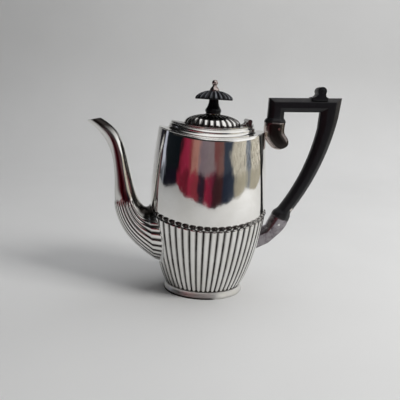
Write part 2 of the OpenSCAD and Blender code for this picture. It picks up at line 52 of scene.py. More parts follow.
def place_camera():
    across, forward = Vector((1, 0, 0)), Vector((0, math.cos(PITCH), -math.sin(PITCH)))
    upward = Vector((0, math.sin(PITCH), math.cos(PITCH)))
    right = across * math.cos(ROLL) + upward * math.sin(ROLL)
    top = -across * math.sin(ROLL) + upward * math.cos(ROLL)
    turn = Matrix.Rotation(-YAW, 3, "Z")
    axes = Matrix((turn @ right, turn @ top, turn @ -forward)).transposed().to_4x4()
    data = bpy.data.cameras.new("camera")
    data.sensor_width = SENSOR
    data.lens = LENS
    data.clip_start = 0.01
    camera = bpy.data.objects.new("camera", data)
    scene.collection.objects.link(camera)
    camera.matrix_world = Matrix.Translation(turn @ CAMERA_AT) @ axes
    scene.camera = camera


place_camera()

# ---- node helper -----------------------------------------------------------


class Nodes:
    """Adds and links the nodes of one shader."""

    def __init__(self, tree):
        self.tree = tree
        tree.nodes.clear()

    def put(self, node, key, value):
        """Links a socket to an input, or sets the input's value."""
        if isinstance(value, bpy.types.NodeSocket):
            self.tree.links.new(value, node.inputs[key])
        else:
            node.inputs[key].default_value = value

    def add(self, kind, inputs=None, **props):
        node = self.tree.nodes.new(kind)
        for key, value in props.items():
            setattr(node, key, value)
        for key, value in (inputs or {}).items():
            self.put(node, key, value)
        return node

    def ramp(self, fac, stops):
        """Colour ramp; a stop is (position, grey) or (position, (r, g, b))."""
        node = self.add("ShaderNodeValToRGB", {"Fac": fac})
        points = node.color_ramp.elements
        while len(points) < len(stops):
            points.new(0.5)
        for point, (position, colour) in zip(points, stops):
            point.position = position
            point.color = (colour,) * 3 + (1,) if isinstance(colour, (int, float)) else (*colour, 1)
        return node.outputs["Color"]

    def math(self, op, a, b=0.0, c=0.0, clamp=False):
        node = self.add("ShaderNodeMath", operation=op, use_clamp=clamp)
        for key, value in enumerate((a, b, c)):
            self.put(node, key, value)
        return node.outputs[0]

    def times(self, a, b, clamp=False):
        return self.math("MULTIPLY", a, b, clamp=clamp)

    def mix(self, fac, a, b, mode="MIX"):
        node = self.add("ShaderNodeMix", data_type="RGBA", blend_type=mode)
        for key, value in ((0, fac), (6, a), (7, b)):
            self.put(node, key, (*value, 1) if isinstance(value, tuple) else value)
        return node.outputs[2]

    def noise(self, scale, detail, rough, vector, distortion=0.0):
        return self.add("ShaderNodeTexNoise", {
            "Scale": scale, "Detail": detail, "Roughness": rough, "Distortion": distortion,
            "Vector": vector}).outputs["Fac"]

    def bump(self, height, strength, distance):
        return self.add("ShaderNodeBump", {
            "Height": height, "Strength": strength, "Distance": distance}).outputs["Normal"]

    def layer(self, name):
        """Numbers painted on the mesh's vertices; 0 where a mesh has none."""
        return self.add("ShaderNodeAttribute", attribute_name=name).outputs["Fac"]

    def surface(self, colour, rough, normal, metal=0.0):
        node = self.add("ShaderNodeBsdfPrincipled", {
            "Base Color": colour, "Roughness": rough, "Normal": normal, "Metallic": metal})
        self.add("ShaderNodeOutputMaterial", {"Surface": node.outputs[0]})
        return node


def material(name):
    """New material with its nodes and the object's own coordinates."""
    mat = bpy.data.materials.new(name)
    mat.use_nodes = True
    nodes = Nodes(mat.node_tree)
    return mat, nodes, nodes.add("ShaderNodeTexCoord").outputs["Object"]


# ---- materials -------------------------------------------------------------
# dark for grime and painted shade, and the wine red of a painted reflection
GRIME_AND_SHADE = (0.035, 0.030, 0.028)
WINE = (0.105, 0.012, 0.024)
TARNISH = (0.30, 0.255, 0.20)
FILM_LOW, FILM_HIGH = (0.79, 0.775, 0.74), (0.92, 0.91, 0.89)


def tinted(tone, colour):
    return tuple(t * c for t, c in zip(tone, colour))


def silver_material(name, tarnish, rough, tone=(1, 1, 1), mottle=0.12,
                    stain=(0.55, 0.50, 0.43), spot_from=0.56):
    """Worn plate: cloudy film, tarnish in the hollows and spots, and from the vertex layers grime with
    painted shade and reflections, and a painted wine-red reflection.
    """
    mat, n, obj = material(name)
    cloud = n.noise(38, 5, 0.6, obj)
    pointiness = n.add("ShaderNodeNewGeometry").outputs["Pointiness"]
    hollow = n.ramp(pointiness, [(0.44, 1.0), (0.495, 0.0)])
    spots = n.ramp(n.noise(150, 6, 0.7, obj), [(spot_from, 0.0), (spot_from + 0.18, 1.0)])
    dull = n.times(hollow, tarnish, clamp=True)
    patchy = n.math("MULTIPLY_ADD", n.noise(90, 4, 0.6, obj), 0.5, 0.72)
    # the vertex layer's grime and painted shade, made patchy
    dark = n.times(n.layer("grime_and_painted_shade"), patchy, clamp=True)

    colour = n.ramp(cloud, [(0.32, tinted(tone, FILM_LOW)), (0.66, tinted(tone, FILM_HIGH))])
    colour = n.mix(dull, colour, TARNISH)
    colour = n.mix(n.times(spots, mottle), colour, stain)
    # painted wine-red reflection from the vertex layer
    colour = n.mix(n.layer("painted_wine_reflection"), colour, WINE)
    colour = n.mix(dark, colour, GRIME_AND_SHADE)

    uneven = n.ramp(cloud, [(0.35, 0.0), (0.7, 1.0)])
    roughness = n.math("MULTIPLY_ADD", uneven, 0.035, rough)
    roughness = n.math("ADD", roughness, n.times(spots, 0.06))
    roughness = n.math("ADD", roughness, n.times(n.math("MAXIMUM", dull, dark), 0.22))

    streaks = n.add("ShaderNodeMapping", {
        "Vector": obj, "Rotation": (0.3, 0.9, 0.4), "Scale": (900, 60, 240)}).outputs["Vector"]
    fine = n.times(n.noise(420, 4, 0.6, obj), 0.25)
    height = n.math("ADD", fine, n.times(n.noise(1.0, 2, 0.5, streaks), 0.35))
    height = n.math("ADD", height, n.times(n.noise(14, 2, 0.4, obj), 7.0))
    height = n.math("ADD", height, n.times(n.noise(48, 2, 0.4, obj), 1.6))
    n.surface(colour, roughness, n.bump(height, 0.12, 0.25 * MM), metal=1.0)
    return mat


CHIP_AT = (0.0813, -0.0040, 0.0830)
CHIP_INNER, CHIP_OUTER, CHIP_RAGGED = 1.5 * MM, 2.0 * MM, 2.2 * MM
RAMP_REACH = 5 * MM
# colours of the chip, the worn edges and a painted highlight on the cap's crests
CHIP_COLOUR, WORN_EDGE, CREST_HIGHLIGHT = (0.62, 0.57, 0.52), (0.085, 0.078, 0.074), (0.36, 0.38, 0.42)


def ebony_material(name, rough, wear, spread, ior):
    """Black wood: lengthwise grain, pores, pale worn edges and one chip near the lower socket."""
    mat, n, obj = material(name)
    along = n.add("ShaderNodeMapping", {
        "Vector": obj, "Scale": (40, 40, 9), "Rotation": (0, 0.35, 0)}).outputs["Vector"]
    grain = n.noise(18, 7, 0.62, along, 0.4)
    pores = n.ramp(n.noise(95, 4, 0.6, along), [(0.30, 1.0), (0.43, 0.0)])
    pointiness = n.add("ShaderNodeNewGeometry").outputs["Pointiness"]
    edge = n.ramp(pointiness, [(0.52, 0.0), (0.62, 1.0)])
    patch = n.ramp(n.noise(60, 5, 0.65, obj), [(0.45, 0.0), (0.70, 1.0)])

    colour = n.ramp(grain, [
        (0.25, (0.003, 0.003, 0.0045)), (0.6, (0.007, 0.007, 0.009)), (0.85, (0.016, 0.016, 0.018))])
    worn = n.times(edge, n.math("MULTIPLY_ADD", patch, 0.6 * wear, 0.15 * wear), clamp=True)
    colour = n.mix(worn, colour, WORN_EDGE)
    away = n.add("ShaderNodeVectorMath", {0: obj, 1: CHIP_AT}, operation="DISTANCE").outputs["Value"]
    wobble = n.math("SUBTRACT", n.noise(700, 3, 0.6, obj), 0.5)
    ragged = n.math("MULTIPLY_ADD", wobble, CHIP_RAGGED, away)
    chip = n.ramp(n.times(ragged, 1 / RAMP_REACH), [
        (CHIP_INNER / RAMP_REACH, 1.0), (CHIP_OUTER / RAMP_REACH, 0.0)])
    colour = n.mix(chip, colour, CHIP_COLOUR)
    # painted highlight on the rib crests, from the vertex layer
    painted_crest_highlight = n.times(n.layer("painted_crest_highlight"), n.math("ADD", patch, 0.55), clamp=True)
    colour = n.mix(painted_crest_highlight, colour, CREST_HIGHLIGHT)

    roughness = n.math("MULTIPLY_ADD", grain, spread, rough)
    height = n.math("SUBTRACT", n.times(grain, 0.5), n.times(pores, 0.5))
    wood = n.surface(colour, roughness, n.bump(height, 0.28, 0.22 * MM))
    wood.inputs["IOR"].default_value = ior
    return mat


def brass_material():
    mat, n, obj = material("turned_brass")
    tone = n.noise(160, 5, 0.6, obj)
    colour = n.ramp(tone, [(0.3, (0.42, 0.30, 0.13)), (0.7, (0.70, 0.54, 0.27))])
    rings = n.add("ShaderNodeTexWave", {"Vector": obj, "Scale": 900.0, "Distortion": 0.6},
                  bands_direction="Z").outputs["Fac"]
    roughness = n.math("MULTIPLY_ADD", tone, 0.2, 0.2)
    n.surface(colour, roughness, n.bump(rings, 0.1, 0.1 * MM), metal=1.0)
    return mat


SILVER = silver_material("polished_silver", 0.55, 0.045)
SILVER_SATIN = silver_material("satin_silver", 0.7, 0.30, (0.98, 0.98, 0.98), 0.3)
# a darker copy of the silver
SILVER_DARKER = silver_material("darker_silver", 0.9, 0.08, (0.78, 0.78, 0.78))
# darker, pinkish copy of the silver whose tone stands in for painted shade and reflection
SILVER_BOOT_SHADED = silver_material("shaded_boot_silver", 1.0, 0.10, (0.62, 0.55, 0.54), 0.4, (0.14, 0.06, 0.05), 0.50)
# rougher, dark mauve copy of the silver whose tone stands in for painted shade
SILVER_DULL_SHADED = silver_material("dull_shaded_silver", 1.0, 0.17, (0.36, 0.34, 0.37), 0.9, (0.09, 0.07, 0.085), 0.46)
# dark copy of the silver whose tone stands in for painted shade
SILVER_DARK = silver_material("shaded_dark_silver", 1.0, 0.18, (0.30, 0.30, 0.30))
EBONY = ebony_material("ebonised_wood", 0.26, 1.0, 0.20, 1.42)
EBONY_GLOSS = ebony_material("ebonised_finial", 0.05, 0.1, 0.10, 1.30)
BRASS = brass_material()

# ---- mesh helpers ----------------------------------------------------------


def build(name, verts, faces, mat, body, nodes, sharp=35.0, paint=None):
    """Mesh from vertices in mm; `paint` gives each named layer one number per vertex."""
    mesh = bpy.data.meshes.new(name)
    mesh.from_pydata([tuple(v) for v in np.asarray(verts) * MM], [], faces)
    mesh.validate()
    mesh.update()
    mesh.polygons.foreach_set("use_smooth", [True] * len(mesh.polygons))
    mesh.set_sharp_from_angle(angle=math.radians(sharp))
    mesh.materials.append(mat)
    for layer, values in (paint or {}).items():
        attribute = mesh.attributes.new(layer, "FLOAT", "POINT")
        attribute.data.foreach_set("value", np.asarray(values, float).ravel())
    ob = bpy.data.objects.new(name, mesh)
    scene.collection.objects.link(ob)
    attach(ob, body)
    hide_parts(*nodes)
    return ob


def grid_faces(rows, n, close_rows, first=0, flip=False):
    """Quads between rings of n points; `first` is the first ring's first point."""
    out = []
    for r in range(rows if close_rows else rows - 1):
        s = (r + 1) % rows
        for i in range(n):
            j = (i + 1) % n
            quad = tuple(first + k for k in (r * n + i, r * n + j, s * n + j, s * n + i))
            out.append(quad[::-1] if flip else quad)
    return out


def band(name, rings, mat, body="pot", nodes=(), sharp=35.0, paint=None):
    """Closed ring-shaped solid: the last ring joins the first."""
    rings = np.asarray(rings, float)
    rows, n, _ = rings.shape
    faces = grid_faces(rows, n, True)
    return build(name, rings.reshape(-1, 3), faces, mat, body, nodes, sharp, paint)


def loft(name, rings, mat, body="pot", nodes=(), flip=False, sharp=35.0,
         paint=None, extra=()):
    """Solid through rings, closed by a face at each end; `extra` holds further solids of the piece."""
    verts, faces = [], []
    for part in (rings, *extra):
        part = np.asarray(part, float)
        rows, n, _ = part.shape
        first = sum(len(v) for v in verts)
        last = first + (rows - 1) * n
        ends = [list(range(first, first + n))[::-1], list(range(last, last + n))]
        faces += grid_faces(rows, n, False, first, flip)
        faces += [end[::-1] for end in ends] if flip else ends
        verts.append(part.reshape(-1, 3))
    return build(name, np.concatenate(verts), faces, mat, body, nodes, sharp, paint)


# ---- the pot's curves, as in the solids (mm) -------------------------------
OVAL, SADDLE_R, SHEET = 0.78, 200.0, 1.0
FLUTES, FLUTE_D = 48, 1.2
BOWL_TOP, RIM_TOP, FOOT_H = 71.0, 150.0, 6.5
WALL_R, WALL_MAX, WALL_MID = 521.2, 54.3, 80.7
SKEW = (1 - OVAL) / (1 + OVAL) / 2
# gap between pieces that sit on one another, and between the wall and what leans on it
SEAM, WALL_GAP = 0.03, 0.02


def lift(x):
    """Height that the saddle adds at x."""
    return SADDLE_R - np.sqrt(SADDLE_R**2 - np.asarray(x) ** 2)


def smooth(u):
    v = np.clip(u, 0, 1)
    return v * v * (3 - 2 * v)


def bez(p, t):
    p = np.asarray(p, float)
    t = np.asarray(t, float)[..., None]
    return (1 - t) ** 3 * p[0] + 3 * (1 - t) ** 2 * t * p[1] + 3 * (1 - t) * t * t * p[2] + t**3 * p[3]


def bez2(p, t):
    """Two Bezier curves that share their middle point."""
    return bez(p[:4], 2 * t) if t < 0.5 else bez(p[3:], 2 * t - 1)


def curve(points, per=6):
    """Smooth curve through points (Catmull-Rom)."""
    p = np.asarray(points, float)
    p = np.vstack([2 * p[0] - p[1], p, 2 * p[-1] - p[-2]])
    out = []
    for a, b, c, d in zip(p, p[1:], p[2:], p[3:]):
        for k in range(per):
            t = k / per
            out.append(0.5 * (2 * b + (c - a) * t + (2 * a - 5 * b + 4 * c - d) * t * t
                              + (3 * b - a - 3 * c + d) * t**3))
    out.append(p[-2])
    return np.array(out)


def bell(x, centre, width, power=2):
    """1 at `centre`, falling off over `width`."""
    return np.exp(-(np.abs((x - centre) / width) ** power))


def oval_angle(u):
    """Angle round the oval that spaces points evenly along it."""
    return TAU * u + SKEW * np.sin(2 * TAU * u)


def lobe(frac, power=0.75):
    """Cross-section of one flute, from 0 through 1 to 0."""
    return np.sin(np.pi * np.clip(frac, 0, 1)) ** power


def valley(frac, near, far):
    """1 in the valley between two flutes, falling to 0 between `near` and `far` of a flute away."""
    return 1 - smooth((np.minimum(frac, 1 - frac) - near) / (far - near))


def on_oval(a, th, z):
    """Points of the oval with half length a, at angles th and heights z."""
    return np.stack([a * np.cos(th), OVAL * a * np.sin(th), z], -1)


def oval_ring(a, z, n, saddle=True):
    """n points round the oval with half length a, on the saddle or flat."""
    th = oval_angle(np.arange(n) / n)
    x = a * np.cos(th)
    return on_oval(a, th, z + (lift(x) if saddle else 0 * x))


def wall_half(z):
    """Half length of the plain wall at height z."""
    return WALL_MAX - WALL_R + np.sqrt(WALL_R**2 - (z - WALL_MID) ** 2)


# ---- bowl ------------------------------------------------------------------
BOWL_HALF = 36.6
# Bezier curve of the flutes' crests: half length and height
BOWL = [[BOWL_HALF, FOOT_H], [44.7, FOOT_H + 13.5], [WALL_MAX + FLUTE_D - 2.9, BOWL_TOP - 23.1],
        [WALL_MAX + FLUTE_D, BOWL_TOP]]
BOWL_PER_FLUTE = 16
FLUTE_ROUND = 0.62
# the spout's root on the bowl: middle height, half height and the power of its rounded oval
ROOT_Z, ROOT_H, ROOT_P = 56.3, 26.9, 2.1
# smooth landing left round the root: half width, half height and, as a part of them, its edge
LANDING_Y, LANDING_Z, LANDING_EDGE = 23.4, 29.6, 0.06
# the parts of the bowl's height over which the flutes round off, below and above
ROUND_LOW, ROUND_HIGH = 0.045, 0.035


def bowl_point(t, th, out):
    """Points on the bowl, t of the way up, `out` mm outside the flutes' valleys."""
    a = bez(BOWL, t)[..., 0] - FLUTE_D + out
    return on_oval(a, th, bez(BOWL, t)[..., 1] + lift(a * np.cos(th)) * t * t)


def landing(points):
    """0 on the landing behind the spout, 1 elsewhere."""
    across, along = np.abs(points[:, 1]) / LANDING_Y, np.abs(points[:, 2] - ROOT_Z) / LANDING_Z
    reach = (across**ROOT_P + along**ROOT_P) ** (1 / ROOT_P)
    return np.where(points[:, 0] > 0, 1.0, smooth((reach - 1) / LANDING_EDGE))


def rounded_end(part):
    """Height of a quarter circle `part` of the way in from its end."""
    return math.sqrt(max(0.0, 1 - (1 - min(part, 1.0)) ** 2))


def make_bowl():
    n = FLUTES * BOWL_PER_FLUTE
    u = np.arange(n) / n
    th = oval_angle(u)
    frac = (u * FLUTES) % 1
    rings, grime_and_painted_shade = [], []
    heights = [np.linspace(0, 0.06, 7), np.linspace(0.09, 0.93, 30), np.linspace(0.945, 1, 8)]
    for t in np.concatenate(heights):
        steps = np.full(n, t)
        bare = landing(bowl_point(steps, th, 0))
        end = rounded_end(t / ROUND_LOW) * rounded_end((1 - t) / ROUND_HIGH)
        shape = lobe(frac, FLUTE_ROUND) * (0.25 + 0.75 * end)
        rings.append(bowl_point(steps, th, FLUTE_D * shape * bare * (0.35 + 0.65 * end)))
        # tarnish and painted shade in the valleys, painted shade in dots at the flutes' feet and at their
        # rounded tops under the beads
        dot = float(smooth(t / 0.02) * smooth((0.062 - t) / 0.02))
        dark = valley(frac, 0.05, 0.33) * float(smooth(t / 0.03)) + dot * valley(frac, 0.24, 0.40)
        dark = dark + (0.9 * (1 - end) if t > 0.5 else 0.0)
        grime_and_painted_shade.append(np.clip(dark, 0, 1) * bare)
    # the inside, with painted shade
    for t in (1, 0.7, 0.35, 0.0):
        rings.append(bowl_point(np.full(n, float(t)), th, 0.1 - SHEET))
        grime_and_painted_shade.append(np.full(n, 0.5))
    band("bowl_fluted", rings, SILVER, nodes=["fluted_bowl"], sharp=50, paint={"grime_and_painted_shade": grime_and_painted_shade})


make_bowl()

# the bowl's outline at its long ends, to seat the spout and the lower socket on it
SIDE_T = np.linspace(0, 1, 101)
SIDE_A = bez(BOWL, SIDE_T)[:, 0] - FLUTE_D
SIDE_Z = bez(BOWL, SIDE_T)[:, 1] + lift(SIDE_A) * SIDE_T * SIDE_T


def bowl_x(y, z, out):
    """How far from the middle the bowl's surface is at y, z."""

    def half(t):
        return bez(BOWL, t)[..., 0] - FLUTE_D + out

    def at_y(a):
        return a * np.sqrt(np.maximum(0, 1 - (y / (OVAL * a)) ** 2))

    t = np.interp(z, SIDE_Z, SIDE_T)
    a = half(t)
    return at_y(half(np.interp(z + (lift(a) - lift(at_y(a))) * t * t, SIDE_Z, SIDE_T)))


# ---- beads -----------------------------------------------------------------
BEAD_R, BEAD_GAP, BEAD_NECK = 2.0, 6, 0.36


def make_beads():
    """Beads strung on one rod round the bowl's top, left out behind the spout."""
    per, around = 14, 16
    total = FLUTES * per
    first = total // 2 + BEAD_GAP * per // 2
    high = np.linspace(-1, 1, around)
    turn = high * math.pi / 2
    rings, grime_and_painted_shade = [], []
    for k in range(total - BEAD_GAP * per + 1):
        i = (first + k) % total
        frac = (i % per) / per
        swell = math.sqrt(max(0.0, 1 - abs(2 * frac - 1) ** 2.4)) if frac else 0.0
        r = BEAD_R * (BEAD_NECK + (1 - BEAD_NECK) * swell)
        th = oval_angle(i / total)
        a = WALL_MAX + WALL_GAP + r * np.cos(turn)
        rings.append(on_oval(a, th, BOWL_TOP + BEAD_R + SEAM + lift(a * math.cos(th)) + r * np.sin(turn)))
        # painted shade and reflection: every bead is darkened, most in a dark core round a glint spot left
        # bare, less towards the right where the light falls
        glint = bell(high, 0.15, 0.22) * bell(frac, 0.60, 0.13)
        core = bell(2 * frac - 1, 0, 0.80, 6) * bell(high, 0, 0.85, 6)
        cover = 1.35 - 0.75 * float(smooth((math.cos(th) - 0.2) / 0.6))
        grime_and_painted_shade.append(0.30 + cover * core * (1 - glint))
    loft("bead_row", rings, SILVER, nodes=["beaded_border"], flip=True, sharp=60, paint={"grime_and_painted_shade": grime_and_painted_shade})


make_beads()

# ---- plain wall ------------------------------------------------------------


def make_wall():
    n = 288
    th = oval_angle(np.arange(n) / n)

    def ring(s, inward, dz=0.0):
        # the height depends on the half length: a first guess, improved four times
        a = np.full(n, 54.0)
        for _ in range(4):
            z = BOWL_TOP + SEAM + (RIM_TOP - BOWL_TOP - SEAM) * s + lift(a * np.cos(th)) + dz
            a = wall_half(z) - inward
        return on_oval(a, th, z)

    outside = [ring(s, 0) for s in np.linspace(0, 1, 41)[:-1]]
    lip = [ring(1, inward, dz) for inward, dz in ((0, -0.15), (0.12, 0), (0.5, 0), (0.95, 0), (SHEET, -0.2))]
    inside = [ring(s, SHEET) for s in (0.8, 0.5, 0.2, 0)]
    # painted shade on the lip's inner edge and the inside
    grime_and_painted_shade = [np.zeros(n)] * (len(outside) + 3) + [np.full(n, 0.45)] * (2 + len(inside))
    band("wall_plain", outside + lip + inside, SILVER, nodes=["body_wall"], paint={"grime_and_painted_shade": grime_and_painted_shade})


make_wall()

# ---- foot ------------------------------------------------------------------
FOOT_BEND = [[38.6, 1.2], [38, 3], [36.9, 4.6], [BOWL_HALF, FOOT_H]]


def make_foot():
    n = 192
    outside = [(38.1, 0), (38.4, 0.12), (38.58, 0.4), (38.6, 0.8)]
    outside += [tuple(p) for p in bez(FOOT_BEND, np.linspace(0, 1, 10))]
    inside = [tuple(p) for p in curve([(33.2, FOOT_H), (33.5, 4.4), (35.2, 2.6), (36.6, 1.2), (36.7, 0)], 3)]
    # painted shadow on the lowest rings, where the foot meets its own shadow, less so on the right
    shade = 1 - 0.85 * smooth((np.cos(oval_angle(np.arange(n) / n)) - 0.08) / 0.2)
    lowest = [1.5, 1.5, 1.5, 1.5, 1.3, 0.6, 0.1]
    grime_and_painted_shade = [g * shade for g in lowest] + [np.zeros(n)] * (len(outside) - len(lowest) - 1)
    # painted shade at the foot's top edge and inside
    grime_and_painted_shade += [np.full(n, 0.5)] + [np.full(n, 0.6)] * len(inside)
    rings = [oval_ring(a, z, n, False) for a, z in outside + inside]
    band("foot", rings, SILVER_SATIN, nodes=["foot_ring"], paint={"grime_and_painted_shade": grime_and_painted_shade})


make_foot()

# ---- shoulder and collar ---------------------------------------------------
COLLAR_Z, COLLAR_H, COLLAR_IN = 153.6, 4.2, 35.6
N_TOP = 240
# half length, height above the rim, and how far the oval follows the leaning wall
SHOULDER_OUT = [(48.72, SEAM, 1), (48.78, 0.5, 1), (48.4, 0.98, 1), (47.7, 1.05, 1), (46.9, 0.85, 0.85),
                (45.2, 0.9, 0.6), (42, 1.7, 0.2), (40.3, 2.8, 0.05), (39.7, COLLAR_Z - RIM_TOP, 0)]
SHOULDER_IN = [(37.8, COLLAR_Z - RIM_TOP, 0), (37.8, COLLAR_Z - RIM_TOP - 0.9, 0), (42, 0.8, 0.2),
               (45.2, SEAM, 0.6)]
# half length and height above the collar's foot
OGEE = [(39.4, 0.02), (39.66, 0.5), (39.7, 1.2), (39.5, 1.9), (38.9, 2.5), (38.35, 3.0), (38.35, 3.5),
        (38.55, 3.9), (38.4, COLLAR_H)]
OGEE_IN = [(COLLAR_IN, COLLAR_H), (COLLAR_IN, COLLAR_H - 1), (37.2, COLLAR_H - 1.1), (38.2, 0.02)]


def make_shoulder():
    th = oval_angle(np.arange(N_TOP) / N_TOP)

    def ring(a, above, follow):
        z = RIM_TOP + above
        grow = follow * (wall_half(z + lift(a * np.cos(th))) - wall_half(z + lift(a)))
        return on_oval(a + grow, th, z + lift((a + grow) * np.cos(th)))

    rings = [ring(*p) for p in list(curve(SHOULDER_OUT, 5)) + SHOULDER_IN]
    band("shoulder_cove", rings, SILVER, nodes=["shoulder"])


def make_collar():
    rings = [oval_ring(a, COLLAR_Z + above, N_TOP) for a, above in list(curve(OGEE, 4)) + OGEE_IN]
    band("collar_moulding", rings, SILVER, nodes=["mouth_collar"])


make_shoulder()
make_collar()

# ---- spout -----------------------------------------------------------------
# flutes, their depth and the height where they run out
SPOUT_FLUTES, SPOUT_D, SPOUT_TOP = 20, 1.1, 85.5
# two Bezier curves each: the under side and the upper side in x, z, and the half width in y
UNDER = [[-46, ROOT_Z - ROOT_H], [-65, 41.5], [-88.6, 58.7], [-88, 95.6], [-87.4, 127.4], [-91.8, 143.4],
         [-113.1, 158.5]]
UPPER = [[-54.5, ROOT_Z + ROOT_H], [-55.6, 80.2], [-62.8, 72.4], [-71, 104.2], [-80.5, 140.5], [-78.9, 148.7],
         [-100.8, 161.2]]
DEPTH = [[21.2], [12], [11.6], [9], [7.4], [6], [6.4]]
# half the angle that the flutes leave plain on the upper side
PLAIN = math.radians(56)
# mm over which the flutes run out, the sheet at the root and how much it thins towards the tip
SPOUT_FADE, SPOUT_SHEET, SPOUT_THINS = 2.2, 1.2, 0.4
# the wine-red band along the neck, a painted reflection: heights with its middle, an angle from the upper
# side, and half width
WINE_REFLECTION_AT = ([85, 100, 120, 130, 145, 155], [1.38, 1.75, 1.80, 1.75, 1.55, 1.40])
WINE_REFLECTION_HALF = ([85, 100, 130, 145, 155], [0.34, 0.42, 0.40, 0.18, 0.10])


def spout_painted_shade(side, t, fade):
    """Painted shade and reflections: dark outlines on the neck, the dark crotch against the wall and the dark
    tip.
    """
    outlines = 0.9 * bell(side, 0.56, 0.16) + 0.30 * bell(side, 2.75, 0.2)
    crotch = 1.35 * bell(side, 0, 1.0, 4) * (1 - smooth((t - 0.26) / 0.16))
    tip = 1.1 * smooth((t - 0.74) / 0.22) * (1 - smooth((side - 1.6) / 0.5))
    return np.maximum(np.maximum(outlines * (1 - fade) * smooth((0.97 - t) / 0.1), crotch), tip)


def make_spout():
    n_plain, per = 36, 12
    n_fluted = SPOUT_FLUTES * per
    v = np.concatenate([
        np.linspace(-PLAIN, PLAIN, n_plain, endpoint=False),
        PLAIN + (TAU - 2 * PLAIN) * np.arange(n_fluted) / n_fluted])
    n = len(v)
    frac = np.concatenate([np.zeros(n_plain), (np.arange(n_fluted) % per) / per])
    side = np.abs(np.angle(np.exp(1j * v)))

    def points(t, out):
        """Section t of the way along, `out` mm outside its smooth outline."""
        under, upper = bez2(UNDER, t), bez2(UPPER, t)
        half, mid = (upper - under) / 2, (upper + under) / 2
        depth = bez2(DEPTH, t)[0]
        grow = 1 + out / ((np.linalg.norm(half) + depth) / 2)
        near = float(smooth(1 - 2 * t))
        power = 2 / (2 + (ROOT_P - 2) * near)
        along = np.sign(np.cos(v)) * np.abs(np.cos(v)) ** power * grow
        y = np.sign(np.sin(v)) * np.abs(np.sin(v)) ** power * depth * grow * (1 + 0.06 * near * along)
        if t == 0:
            z = ROOT_Z + ROOT_H * along
            return np.stack([-bowl_x(y, z, SEAM), y, z], 1)
        p = mid[None] + half[None] * along[:, None]
        return np.stack([p[:, 0], y, p[:, 1]], 1)

    rings, grime_and_painted_shade, painted_wine_reflection = [], [], []
    for t in np.concatenate([[0], np.linspace(0.02, 0.5, 34), np.linspace(0.52, 0.985, 26), [1.0]]):
        base = points(t, np.zeros(n))
        fade = smooth((SPOUT_TOP - base[:, 2]) / SPOUT_FADE + 0.5)
        rings.append(points(t, SPOUT_D * lobe(frac, FLUTE_ROUND) * fade))
        # tarnish and painted shade in the grooves, and the painted shade and reflections on the neck
        grooves = np.where(np.arange(n) >= n_plain, valley(frac, 0.10, 0.34), 0.0) * fade
        grime_and_painted_shade.append(np.maximum(grooves, spout_painted_shade(side, t, fade)))
        height = base[:, 2].mean()
        # painted wine-red reflection along the neck
        stripe = bell(side, np.interp(height, *WINE_REFLECTION_AT), np.interp(height, *WINE_REFLECTION_HALF), 4)
        painted_wine_reflection.append(0.97 * stripe * (1 - fade) * smooth((0.9 - t) / 0.1))
    for t in np.linspace(1, 0.02, 24):
        rings.append(points(t, np.full(n, SPOUT_THINS * t - SPOUT_SHEET)))
        # painted shade inside, lighter at the tip's rim
        grime_and_painted_shade.append(np.full(n, 0.55 if t > 0.99 else 0.97))
        painted_wine_reflection.append(np.zeros(n))
    # the inside's edge stands one sheet off the bowl
    first = points(0.0, np.full(n, -SPOUT_SHEET))
    first[:, 0] -= SHEET
    paint = {"grime_and_painted_shade": grime_and_painted_shade + [grime_and_painted_shade[-1]], "painted_wine_reflection": painted_wine_reflection + [painted_wine_reflection[-1]]}
    band("spout_fluted", rings + [first], SILVER, nodes=["spout"], sharp=55, paint=paint)


make_spout()

# ---- handle and sockets ----------------------------------------------------
# the eight-sided section: where its sides begin, as a part of its length, and half its blunt
# end, as a part of its half width
FLAT_FROM, END_HALF = 0.3, 0.45
OUT_C, OUT_R, IN_C, IN_R = np.array([-99.2, 203.1]), 218.2, np.array([-82.1, 187.5]), 183.0
UPPER_JOINT = [[48.4, 165], [67.4, 165]]
LOWER_JOINT = [[79.4, 71.2], [63.4, 77.9]]
SOCKET_W, BAR_W = 6.6, 5.6
# stations: the section's two ends in x, z and its half width in y
BAR_ROWS = [
    (*UPPER_JOINT, SOCKET_W - 0.5),
    ([48.4, 165.3], [67.4, 165.3], SOCKET_W),
    ([48.5, 166.7], [67.4, 166.7], SOCKET_W),
    ([49.2, 167.8], [66.8, 167.9], 6.2),
    ([50.5, 169.1], [65.6, 169.3], BAR_W),
    ([50.6, 177.5], [65.5, 172.0], BAR_W),
    ([50.6, 187.1], [65.4, 175], BAR_W),
    ([118.2, 190.4], [99.5, 176.6], BAR_W)]
END_ROWS = [
    ([80.8, 78.1], [67.4, 82.9], BAR_W + 0.2),
    ([80.9, 77.0], [66.0, 82.1], 6.35),
    ([80.8, 75.9], [65.0, 81.1], SOCKET_W),
    ([80.0, 73.0], [64.1, 79.4], SOCKET_W),
    (*LOWER_JOINT, SOCKET_W)]
UPPER_ROWS = [
    ([69.3, 143.0], [71.2, 144.5], 2.4),
    ([68.2, 142.0], [71.9, 145.1], 3.8),
    ([66.2, 140.9], [72.4, 146.0], 4.6),
    ([63.4, 140.3], [72.4, 147], 5.2),
    ([57.8, 141.6], [72, 149.4], 6),
    ([53.2, 145.8], [70.2, 152.4], 6.4),
    ([49, 151.5], [68, 155.2], SOCKET_W),
    ([48.4, 158.4], [67.1, 158.4], SOCKET_W),
    ([48.4, 164.6], [67.4, 164.6], SOCKET_W)]
LOWER_ROWS = [
    ([79.2, 70.8], [63.2, 77.6], SOCKET_W),
    ([77.2, 65.9], [62, 74.7], SOCKET_W),
    ([72.6, 59.4], [60.3, 70.9], 6.3),
    ([61.8, 48.4], [58.4, 66.4], 5.7)]
LOWER_END = ([51.4, 41.6], [54.9, 63.4], 5.0)


